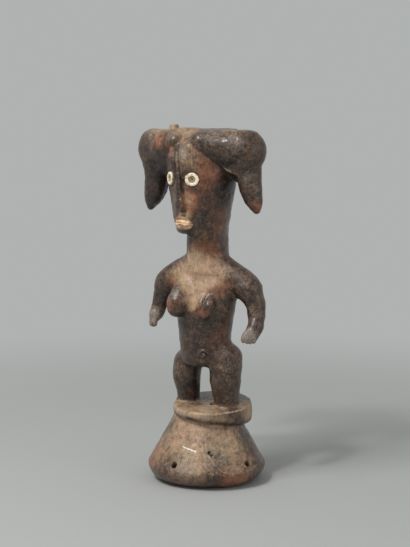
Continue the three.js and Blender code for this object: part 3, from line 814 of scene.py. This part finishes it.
def skin_of(form, axes):
    """A closed quad mesh: a vertex in every grid cell that the skin passes through, a face across every
    grid edge that it crosses."""
    sample = sampled(form, axes)
    settle(sample)
    inside = sample < 0
    step = axes[0][1] - axes[0][0]
    corners = [(i, j, k) for i in (0, 1) for j in (0, 1) for k in (0, 1)]

    def shifted(values, corner):
        return values[tuple(slice(c, values.shape[n] - 1 + c) for n, c in enumerate(corner))]

    count = sum(shifted(inside, corner).astype(np.int8) for corner in corners)
    cells = np.argwhere((count > 0) & (count < 8))
    total = np.zeros((len(cells), 3))
    crossings = np.zeros(len(cells))
    for a in corners:
        for axis in range(3):
            if a[axis]:
                continue
            b = tuple(1 if n == axis else c for n, c in enumerate(a))
            va, vb = (sample[tuple((cells + corner).T)] for corner in (a, b))
            cross = (va < 0) != (vb < 0)
            t = va[cross] / (va[cross] - vb[cross])
            place = np.tile(np.array(a, float), (len(t), 1))
            place[:, axis] = t
            total[cross] += place
            crossings[cross] += 1
    origin = np.array([axis[0] for axis in axes])
    low = origin + cells * step
    points = low + total / crossings[:, None] * step
    value, slope = slope_of(form, points)
    steep2 = np.maximum((slope**2).sum(1), 0.2)
    points -= (np.clip(value / steep2, -step, step))[:, None] * slope
    points = np.clip(points, low, low + step)
    number = np.full(np.array(inside.shape) - 1, -1)
    number[tuple(cells.T)] = np.arange(len(cells))
    quads = []
    for axis in range(3):
        u, v = (axis + 1) % 3, (axis + 2) % 3
        first = [slice(1, -1)] * 3
        second = [slice(1, -1)] * 3
        first[axis] = slice(0, -1)
        second[axis] = slice(1, None)
        edges = inside[tuple(first)] != inside[tuple(second)]
        place = np.argwhere(edges)
        leaving = inside[tuple(first)][tuple(place.T)]
        place += [0 if n == axis else 1 for n in range(3)]
        ring = [place - du * UNITS[u] - dv * UNITS[v] for du, dv in SQUARE]
        ring = np.stack([number[tuple(corner.T)] for corner in ring], 1)
        ring[~leaving] = ring[~leaving][:, ::-1]
        quads.append(ring)
    return points, np.vstack(quads)


SKIN_STEP = 1.25
field = figure_field()
skin_axes = [
    np.arange(low - 3 * SKIN_STEP, high + 4 * SKIN_STEP, SKIN_STEP)
    for low, high in zip(cad_box[0] * MM, cad_box[1] * MM)
]
points, quads = skin_of(field, skin_axes)
figure_mesh = bpy.data.meshes.new("carved_figure")
figure_mesh.from_pydata(points / MM, [], quads)
figure = bpy.data.objects.new("carved_figure", figure_mesh)
scene.collection.objects.link(figure)

PIECE_TRIANGLES = 190_000
thinning = PIECE_TRIANGLES / (2 * len(quads))
if thinning < 1:
    figure.modifiers.new("thin", "DECIMATE").ratio = thinning
    thinned = figure.evaluated_get(bpy.context.evaluated_depsgraph_get())
    figure_mesh = bpy.data.meshes.new_from_object(thinned)
    figure.modifiers.clear()
    figure.data = figure_mesh
figure_mesh.shade_smooth()


def face_spot(x, z):
    """A place on the turned face, from its own x and z."""
    forward = HEAD_Y - on_face(x, z)
    return x * TURN_X + forward * TURN_Y, HEAD_Y + x * TURN_Y - forward * TURN_X, z


# Pits and small breaks that knocks and insects have left: (place, radius, depth)
DENTS = [
    ((65.5, -37, 402), 2.4, 1.6), ((58.5, -35, 393), 2, 1.2), ((74, -29.5, 388), 2, 1.4),
    ((75, -35.5, 414), 1.8, 1.2), ((52, -37.5, 408), 1.6, 1), ((70, -30, 372), 1.6, 1),
    ((74.5, -26, 358), 1.6, 1), ((-52.5, -8, 363), 2.4, 2), ((-55.6, -8, 356), 2.4, 2),
    ((-59.8, -8, 349.5), 2.2, 1.8), ((33, -46.9, 46), 2.3, 2.6), ((35.5, -45.5, 42), 1.8, 1.8),
    ((16, -51.5, 49), 1.4, 0.8), ((-20, -60, 38), 1.6, 1), ((50, -27, 52), 1.6, 1),
]
HAIR_PITS, BASE_PITS = 90, 40
PIT_DEPTH = 0.55


def pressed_in(points):
    """How deep the pits go at each point: those of the list, and a scatter on the hair and on the base."""
    pit_random = np.random.default_rng(11)
    across, _, height = points.T
    pits = list(DENTS)
    on_hair = (height > 345) & (np.abs(across) > 32)
    on_base = (height > 4) & (height < 74)
    for group, count in ((on_hair, HAIR_PITS), (on_base, BASE_PITS)):
        for spot in pit_random.choice(np.flatnonzero(group), count):
            radius = pit_random.uniform(1, 2.1)
            pits.append((points[spot], radius, PIT_DEPTH * radius))
    depth = np.zeros(len(points))
    for place, radius, deep in pits:
        nearest = points[np.argmin(((points - place) ** 2).sum(1))]
        depth = np.maximum(depth, deep * np.exp(-((points - nearest) ** 2).sum(1) / radius**2))
    return depth


# What time has done to the wood, zone by zone, with painted shade and painted highlights among it: (place,
# radius, strength)
WEAR = {
    "red": [
        (face_spot(13, 350), 15, 1), (face_spot(12, 340), 9, 0.7), (face_spot(36, 380), 20, 0.4),
        (face_spot(36, 345), 22, 0.5), (face_spot(35, 392), 16, 0.35), (face_spot(30, 368), 14, 0.3),
        (face_spot(20, 405), 16, 0.2), (face_spot(-1, 322), 16, 0.5), ((14, -14, 322), 22, 0.6),
        ((10, -22, 285), 24, 0.7), ((-40, -36, 420), 15, 0.85), ((-22, -46, 408), 12, 0.6),
        ((75, -11, 338), 15, 0.9), ((31, -22, 248), 18, 0.5), ((4, -34, 236), 16, 0.6),
        ((-24, -44, 222), 16, 0.5), ((16, -36, 212), 12, 0.5), ((-30, -24, 246), 16, 0.6),
        ((-52, -44, 30), 32, 0.7), ((14, -66, 8), 30, 0.6), ((60, -32, 12), 24, 0.7),
        ((26, -14, 184), 22, 0.3),
    ],
    # soot, and painted shade between the legs, under the breasts, under the chin, beside and under the rolls
    # of hair
    "soot_and_shade": [
        ((66, -13, 394), 26, 0.5), ((46, -30, 404), 14, 0.5), ((-63, -13, 402), 40, 0.55),
        ((-66, -11, 362), 34, 0.85), ((-44, -24, 384), 24, 0.9), ((40, -16, 362), 26, 0.9),
        (face_spot(33, 344), 22, 0.5), (face_spot(2, 308), 12, 0.9), (face_spot(5, 311), 9, 0.9),
        (face_spot(20, 326), 14, 0.6), (face_spot(26, 338), 14, 0.4), ((-56, -8, 230), 18, 0.6),
        ((58, -4, 226), 18, 0.5), ((-16, 2, 114), 30, 1), ((-10, 4, 134), 20, 1),
        ((34, -12, 122), 22, 0.35), ((-12, -26, 206), 16, 0.5), ((20, -24, 200), 16, 0.4),
        ((30, -60, 3), 34, 0.7), ((-30, -56, 3), 34, 0.7), ((66, -30, 30), 18, 0.4),
        ((50, 12, 86), 14, 0.7), ((4, -26, 182), 38, 0.5), ((14, -30, 202), 9, 0.5),
        ((-16, -34, 210), 9, 0.4), ((0, 34, 380), 50, 0.4),
    ],
    "bare": [
        ((6, -27, 262), 28, 1), ((3, -32, 244), 18, 0.95), ((1, -32, 226), 12, 0.9),
        ((-22, -22, 258), 20, 0.7), ((24, -20, 262), 20, 0.5), ((-4, -22, 284), 18, 0.4),
        ((-8, -36, 430), 22, 0.35), ((-14, -16, 436), 30, 0.4), (face_spot(5, 331.5), 9, 1),
        (face_spot(12, 353), 10, 0.4), (face_spot(11, 345), 9, 0.3), (face_spot(14, 404), 20, 0.4),
        ((50, -20, 438), 20, 0.4), ((-50, -20, 436), 24, 0.6), ((-10, -44, 90), 26, 0.7),
        ((20, -34, 90), 26, 0.65), ((5, -10, 92), 34, 0.3), ((44, 16, 90), 22, 0.7),
        ((-34, -20, 90), 22, 0.6), ((6, -48, 58), 34, 0.65), ((-28, -42, 52), 26, 0.4),
        ((44, -24, 58), 26, 0.55), ((18, -58, 34), 28, 0.65), ((-30, -52, 26), 26, 0.3),
        ((60, -24, 34), 26, 0.4), ((-20, 45, 60), 40, 0.5), ((30, 45, 40), 40, 0.5),
    ],
    # grey dust, and painted highlights on the shoulder, the far breast, the near forehead rib and the tops
    # of the hair
    "dust_and_highlight": [
        ((70, -16, 186), 14, 0.9), ((-69, -16, 200), 16, 1), ((66, -6, 214), 16, 0.15),
        ((61, -9, 251), 18, 0.2), ((42, -14, 148), 14, 0.2), ((-38, -18, 140), 14, 0.3),
        ((-20, -46, 236), 10, 0.5), (face_spot(-12, 352), 14, 0.4), (face_spot(8, 406), 9, 0.8),
        (face_spot(-9, 406), 8, 0.5), ((32, -36, 424), 15, 0.6), ((60, -32, 418), 16, 0.4),
        ((74, -24, 376), 13, 0.35), ((-50, -36, 426), 16, 0.4), ((40, -44, 40), 24, 0.35),
        ((6, -64, 24), 22, 0.5), ((-10, -48, 84), 14, 0.5), ((24, -44, 84), 12, 0.4),
    ],
}


def zone(marks, points):
    """How far each point lies in a group of soft round zones, 0 to 1."""
    outside = np.ones(len(points))
    for place, radius, strength in marks:
        near = close_to(np.linalg.norm(points - np.array(place), axis=1), radius)
        outside *= 1 - strength * near * near * (3 - 2 * near)
    return 1 - outside


def keep(mesh, name, values):
    """Values from 0 to 1 at the corners of a mesh, for its material to read."""
    mesh.attributes.new(name, "FLOAT", "POINT").data.foreach_set("value", values.astype(np.float32))


corners = np.empty(3 * len(figure_mesh.vertices), np.float32)
figure_mesh.vertices.foreach_get("co", corners)
corners = corners.reshape(-1, 3).astype(float) * MM
_, outward = slope_of(field, corners, 0.8)
outward /= np.linalg.norm(outward, axis=1)[:, None]
pit_depth = pressed_in(corners)
figure_mesh.vertices.foreach_set("co", ((corners - pit_depth[:, None] * outward) / MM).ravel())
x, y, z = corners.T.copy()
face_x = x * TURN_X + (y - HEAD_Y) * TURN_Y
in_front = y < HEAD_Y - 20
# the gouge's strokes, for painted light on their crests and painted shade in their grooves
strokes = gouge_marks(x, y, z)

# dirt and painted occlusion shade: wherever the surface near a point rises over it, in pits and in the
# gouge's grooves
openness = [np.clip(field(*(corners + reach * outward).T.copy()) / reach, 0, 1) for reach in (2, 5, 12)]
pitted = np.maximum(np.clip(pit_depth / 1.4, 0, 0.9), np.clip(0.5 * strokes, 0, 1))
keep(figure_mesh, "hollow_dirt_and_shade", np.maximum(1 - sum(openness) / 3, pitted))

# edges are rubbed pale: ridges and the rim of the plate; painted highlights along the hem of the left roll
# of hair and on the gouge's crests
openings = [eye_recess(LEFT), eye_recess(RIGHT), navel(), *(lashing_hole(turn) for turn in LASHING_TURNS)]
from_opening = np.min([form(x, y, z) for form in openings], axis=0)
rubbed = np.clip(1 + field(*(corners - 3 * outward).T.copy()) / 3, 0, 1) * ramp(from_opening, 0, 4)
rubbed *= 1 - (x < -28) * (np.abs(z - 376) < 34)
below_hair = over_hair_edge(x, y, z)
off_head = turned(column(HEAD_MARKS))(x, y, z)
hair_side = ramp(np.abs(x), 24, 32)
hair_hem_highlight = close_to(np.abs(below_hair), 2, 1.4) * hair_side * ramp(np.abs(x), 56, 52)
hair_hem_highlight *= (off_head > 1.5) * (outward[:, 2] > -0.6) * (y < -20) * (x > 0)
plate_low, plate_top = collar_planes(x, y)
plate_gap = collar(x, y, z)
plate_hem = close_to(np.abs(z - plate_top + 1.4), 1.4, 1.2) * (plate_gap > -2.5) * (y < 40)
keep(figure_mesh, "edge", np.max([rubbed, hair_hem_highlight, plate_hem, np.clip(-0.75 * strokes, 0, 1)], axis=0))

# the mouth is whitened, but for its two dark lines
parted = close_to(np.minimum(*mouth_lines(face_x, z)), 0.9)
keep(figure_mesh, "pale", close_to(turned(mouth)(x, y, z), 0.8) * (1 - 0.5 * parted))

# the front of the nose is darker wood; painted shade joins the soot: the shadow under the nose's foot, its
# shaded flank, the shade under the plate and under the hair, and all that looks down
shares = {name: zone(marks, corners) for name, marks in WEAR.items()}
off_nose = np.abs(face_x - NOSE_MIDDLE(z))
on_nose = close_to(off_nose, 4.2) * ramp(z, NOSE_FOOT, NOSE_FOOT + 2) * (z < EYE_Z + 6) * in_front
# painted shade on the nose's flank away from the lamps
nose_flank_shade = close_to(np.abs(face_x - NOSE_MIDDLE(z) - NOSE_WIDTH(z) - 0.4), 1.6) * in_front
nose_flank_shade *= ramp(z, NOSE_FOOT - 4, NOSE_FOOT - 2) * ramp(z, EYE_Z + 6, EYE_Z - 2)
nose_shadow = close_to(np.abs(z - NOSE_FOOT + 1.8), 2.2) * close_to(off_nose, 5.4) * in_front
# painted shade just under the plate and under the hem of the hair
under_plate_shade = close_to(np.abs(z - plate_low - 4), 3.6, 1.2) * (plate_gap < 2)
under_hair_shade = close_to(below_hair, 8) * ramp(below_hair, 0, 1.2) * hair_side * (off_head < 1.5)
# painted shade on all that looks down
downward_shade = np.clip(-1.5 * outward[:, 2] - 0.1, 0, 0.85) * (z > 100) * ramp(np.abs(z - 300), 10, 30)
darker_nose_and_shade = [0.35 * nose_flank_shade, 0.65 * on_nose, 0.95 * nose_shadow, 0.8 * under_plate_shade, 0.5 * under_hair_shade]
shares["soot_and_shade"] = np.max([shares["soot_and_shade"], *darker_nose_and_shade, downward_shade], axis=0)
on_lip = close_to(turned(upper_lip())(x, y, z), 0.8)
shares["red"] = np.maximum(shares["red"] * (1 - 0.85 * on_nose), 0.75 * on_lip)
shares["bare"] *= 1 - ramp(z, 96.5, 98.5) * (z < 180)
covers = ((nose_shadow, 0.9), (under_plate_shade, 0.8), (under_hair_shade, 0.7), (nose_flank_shade, 0.6), (on_lip, 0.35))
for cover, strength in covers:
    shares["bare"] *= 1 - strength * cover
for name, share in shares.items():
    keep(figure_mesh, name, share)


# Dense hardwood, adzed and knife cut, then smoked and handled for years: a dark patina with a low gloss,
# broken open to dry tan and red wood where it has rubbed off, grey with dust and painted highlights on top,
# black with dirt and painted shade in the hollows and under overhangs.
ALONG_GRAIN = 90
wood, tree = new_material("smoked_hardwood")
place = add(tree, "ShaderNodeTexCoord").outputs["Object"]
in_mm = add(tree, "ShaderNodeMapping", links={"Vector": place, "Scale": (MM, MM, MM)})
with_grain = add(tree, "ShaderNodeMapping", links={"Vector": place, "Scale": (MM, MM, ALONG_GRAIN)})
clouds, blotches, specks, pores = (
    add(tree, "ShaderNodeTexNoise", links={"Vector": in_mm, "Scale": 1 / mm, "Detail": 4, "Roughness": fine})
    for mm, fine in ((26, 0.6), (8, 0.65), (2.6, 0.6), (1.2, 0.5))
)
grain = add(tree, "ShaderNodeTexNoise", links={"Vector": with_grain, "Scale": 1 / 1.8, "Detail": 3})
mixed = add(tree, "ShaderNodeMath", {"operation": "ADD"}, {0: blotches, 1: specks})
mottled = add(tree, "ShaderNodeMapRange", links={"Value": mixed, "From Min": 0.8, "From Max": 1.2})
cloudy = add(tree, "ShaderNodeMapRange", links={"Value": clouds, "From Min": 0.4, "From Max": 0.6})
patina, worn_wood = (
    add(tree, "ShaderNodeMix", {"data_type": "RGBA"}, {0: pattern, 6: linear(first), 7: linear(second)})
    for pattern, first, second in ((mottled, "#34251c", "#513a2a"), (cloudy, "#b69377", "#ae9474"))
)

# what lies over the patina, each coat over those before it: (attribute, colour, the pattern that breaks its
# border, how much, and the sum of both at which the coat starts and is full)
COATS = [
    ("red", linear("#8a5234"), mixed, 0.55, 0.5, 1.4),
    # warm black: soot, and painted shade
    ("soot_and_shade", linear("#1f120c"), blotches, 0.45, 0.22, 1.22),
    ("bare", worn_wood, mixed, 0.6, 0.5, 1.55),
    # grey: dust, and painted highlights
    ("dust_and_highlight", linear("#94877b"), specks, 1, 0.5, 1.6),
    # pale tan: worn edges, and painted highlights on the hem of the hair and on the gouge's crests
    ("edge", linear("#b0957a"), specks, 1.1, 0.85, 1.6),
    # near black: dirt and painted shade in the hollows
    ("hollow_dirt_and_shade", linear("#120c09"), specks, 0.6, 0.65, 1.2),
    ("pale", linear("#e3b990"), specks, 0.6, 0.5, 1.2),
]
brown = patina
for name, colour, pattern, broken, start, full in COATS:
    share = add(tree, "ShaderNodeAttribute", {"attribute_name": name}).outputs["Fac"]
    ragged = add(tree, "ShaderNodeMath", {"operation": "MULTIPLY_ADD"}, {0: pattern, 1: broken, 2: share})
    cover = add(
        tree,
        "ShaderNodeMapRange",
        {"interpolation_type": "SMOOTHSTEP"},
        {"Value": ragged, "From Min": start, "From Max": full},
    )
    brown = add(tree, "ShaderNodeMix", {"data_type": "RGBA"}, {0: cover, 6: brown, 7: colour})

# one fresh white scratch, 17 mm long, on the front of the base, as seen from the camera
SCRATCH_SLOPE = math.radians(-14)
SCRATCH_RIGHT, SCRATCH_UP = -0.0208, 0.0487
HALF_LENGTH, HALF_WIDTH = 0.0085, 0.0008
up = Vector((0, 0, 1))
along = math.cos(SCRATCH_SLOPE) * camera_right + math.sin(SCRATCH_SLOPE) * up
across = -math.sin(SCRATCH_SLOPE) * camera_right + math.cos(SCRATCH_SLOPE) * up
middle = SCRATCH_RIGHT * camera_right + SCRATCH_UP * up
front = add(tree, "ShaderNodeVectorMath", {"operation": "DOT_PRODUCT"}, {0: place, 1: toward_camera})
on_scratch = add(tree, "ShaderNodeMath", {"operation": "GREATER_THAN"}, {0: front.outputs["Value"], 1: 0.0})
for direction, half_size in ((along, HALF_LENGTH), (across, HALF_WIDTH)):
    spot = add(tree, "ShaderNodeVectorMath", {"operation": "DOT_PRODUCT"}, {0: place, 1: direction})
    inside = add(
        tree,
        "ShaderNodeMath",
        {"operation": "COMPARE"},
        {0: spot.outputs["Value"], 1: middle.dot(direction), 2: half_size},
    )
    on_scratch = add(tree, "ShaderNodeMath", {"operation": "MULTIPLY"}, {0: on_scratch, 1: inside})
toned = add(tree, "ShaderNodeMix", {"data_type": "RGBA"}, {0: on_scratch, 6: brown, 7: linear("#f4ece2")})

# light and dark of the grain, the pores, small round pocks and blotches: (pattern, from, to, tone at both)
pocks = add(tree, "ShaderNodeTexVoronoi", links={"Vector": in_mm, "Scale": 1 / 3.4})
pock_size = add(
    tree,
    "ShaderNodeMapRange",
    links={"Value": blotches, "From Min": 0.4, "From Max": 0.7, "To Max": 0.42},
)
TONES = [
    (grain, 0.38, 0.62, 0.84, 1.15),
    (pores, 0.3, 0.7, 0.8, 1.2),
    (pocks, 0, pock_size, 0.8, 1),
    (blotches, 0.35, 0.65, 0.84, 1.12),
]
for pattern, low, high, dark, light in TONES:
    tone = add(
        tree,
        "ShaderNodeMapRange",
        links={"Value": pattern, "From Min": low, "From Max": high, "To Min": dark, "To Max": light},
    )
    toned = add(tree, "ShaderNodeVectorMath", {"operation": "SCALE"}, {0: toned, "Scale": tone})

# a hand-rubbed sheen, duller where the wood is bare, dusty or given a painted highlight
rough = add(
    tree,
    "ShaderNodeMapRange",
    links={"Value": specks, "From Min": 0.35, "From Max": 0.65, "To Min": 0.3, "To Max": 0.52},
)
relief = add(tree, "ShaderNodeMath", {"operation": "MULTIPLY_ADD"}, {0: specks, 1: 1.4, 2: pores})
bump = add(tree, "ShaderNodeBump", links={"Height": relief, "Strength": 0.6, "Distance": 0.0006})
bare, dust_and_highlight = (
    add(tree, "ShaderNodeAttribute", {"attribute_name": name}).outputs["Fac"] for name in ("bare", "dust_and_highlight")
)
dull = add(tree, "ShaderNodeMath", {"operation": "ADD"}, {0: bare, 1: dust_and_highlight})
gloss = add(
    tree,
    "ShaderNodeMapRange",
    links={"Value": dull, "From Max": 0.7, "To Min": 0.38, "To Max": 0.08},
)
skin = add(
    tree,
    "ShaderNodeBsdfPrincipled",
    links={
        "Base Color": toned,
        "Roughness": rough,
        "Normal": bump,
        "Specular IOR Level": 0.45,
        "Coat Weight": gloss,
        "Coat Roughness": 0.13,
    },
)
add(tree, "ShaderNodeOutputMaterial", links={"Surface": skin})
figure_mesh.materials.clear()
figure_mesh.materials.append(wood)
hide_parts("figure")
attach(figure, "root")


# The two eye inlays: rings of bone or fired clay pressed into the sockets, white, a little wavy at the rim,
# with a sunk middle that has kept its dirt. The outline of a ring runs from its back to its pupil.
EYE_PROFILE = [
    (-2.8, 0), (-2.7, 7.8), (-0.5, 8.2), (0.6, 8.3), (1.2, 7.8), (1.4, 6.4), (1.2, 4.9), (0.5, 4.1),
    (-0.5, 3.7), (-0.7, 3), (-0.3, 2.2), (-0.9, 1.3), (-1.2, 0.9), (-1.4, 0),
]
EYE_STEPS = 72
EYE_WIDER, EYE_LOWER = 1.07, 0.94
WELL_RADIUS, PUPIL_RADIUS = 4.3, 1.2

# Off-white and matt, stained in blotches, with an olive brown well and a dark pupil.
inlay, inlay_tree = new_material("bone_white_inlay")
place = add(inlay_tree, "ShaderNodeTexCoord").outputs["Object"]
grime = add(inlay_tree, "ShaderNodeTexNoise", links={"Vector": place, "Scale": MM / 2.4, "Detail": 3})
sunk = add(inlay_tree, "ShaderNodeAttribute", {"attribute_name": "sunk"}).outputs["Fac"]
ragged = add(inlay_tree, "ShaderNodeMath", {"operation": "MULTIPLY_ADD"}, {0: grime, 1: 1.1, 2: sunk})
paint = linear("#fff0d8")
for pattern, start, full, colour in (
    (grime, 0.42, 0.75, "#bfa681"),
    (ragged, 0.6, 1.1, "#9a8762"),
    (sunk, 0.7, 0.95, "#4a3a28"),
):
    cover = add(
        inlay_tree,
        "ShaderNodeMapRange",
        links={"Value": pattern, "From Min": start, "From Max": full},
    )
    paint = add(inlay_tree, "ShaderNodeMix", {"data_type": "RGBA"}, {0: cover, 6: paint, 7: linear(colour)})
paste = add(inlay_tree, "ShaderNodeBsdfPrincipled", links={"Base Color": paint, "Roughness": 0.5})
add(inlay_tree, "ShaderNodeOutputMaterial", links={"Surface": paste})


for name, side in (("left_eye_inlay", LEFT), ("right_eye_inlay", RIGHT)):
    middle, out = eye_place(side)
    sideways = np.array((-out[1], out[0], 0))
    ring_points = [middle + EYE_PROFILE[0][0] * out]
    depth = [0]
    for along, radius in EYE_PROFILE[1:-1]:
        for turn in np.arange(EYE_STEPS) * 2 * math.pi / EYE_STEPS:
            wavy = 1 + 0.03 * math.sin(5 * turn + side) + 0.02 * math.sin(9 * turn + 2)
            wide, high = (EYE_WIDER * wavy, EYE_LOWER * wavy) if along > 0 else (1, 1)
            across = wide * math.cos(turn) * sideways + high * math.sin(turn) * np.array(up)
            ring_points.append(middle + along * out + radius * across)
        depth += [0 if radius > WELL_RADIUS else 0.6 if radius > PUPIL_RADIUS else 1] * EYE_STEPS
    ring_points.append(middle + EYE_PROFILE[-1][0] * out)
    depth.append(1)
    faces = []
    last = len(ring_points) - 1
    for n in range(EYE_STEPS):
        after = (n + 1) % EYE_STEPS
        faces.append((0, 1 + after, 1 + n))
        for near in range(1, last - EYE_STEPS, EYE_STEPS):
            faces.append((near + n, near + after, near + EYE_STEPS + after, near + EYE_STEPS + n))
        faces.append((last - EYE_STEPS + n, last - EYE_STEPS + after, last))
    ring_mesh = bpy.data.meshes.new(name + "_ring")
    ring_mesh.from_pydata([tuple(point / MM) for point in ring_points], [], faces)
    ring_mesh.shade_smooth()
    keep(ring_mesh, "sunk", np.array(depth))
    ring_mesh.materials.append(inlay)
    ring = bpy.data.objects.new(name + "_ring", ring_mesh)
    scene.collection.objects.link(ring)
    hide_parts(name)
    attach(ring, "root")

str([[list(corner) for corner in box] for box in (cad_box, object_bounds())])
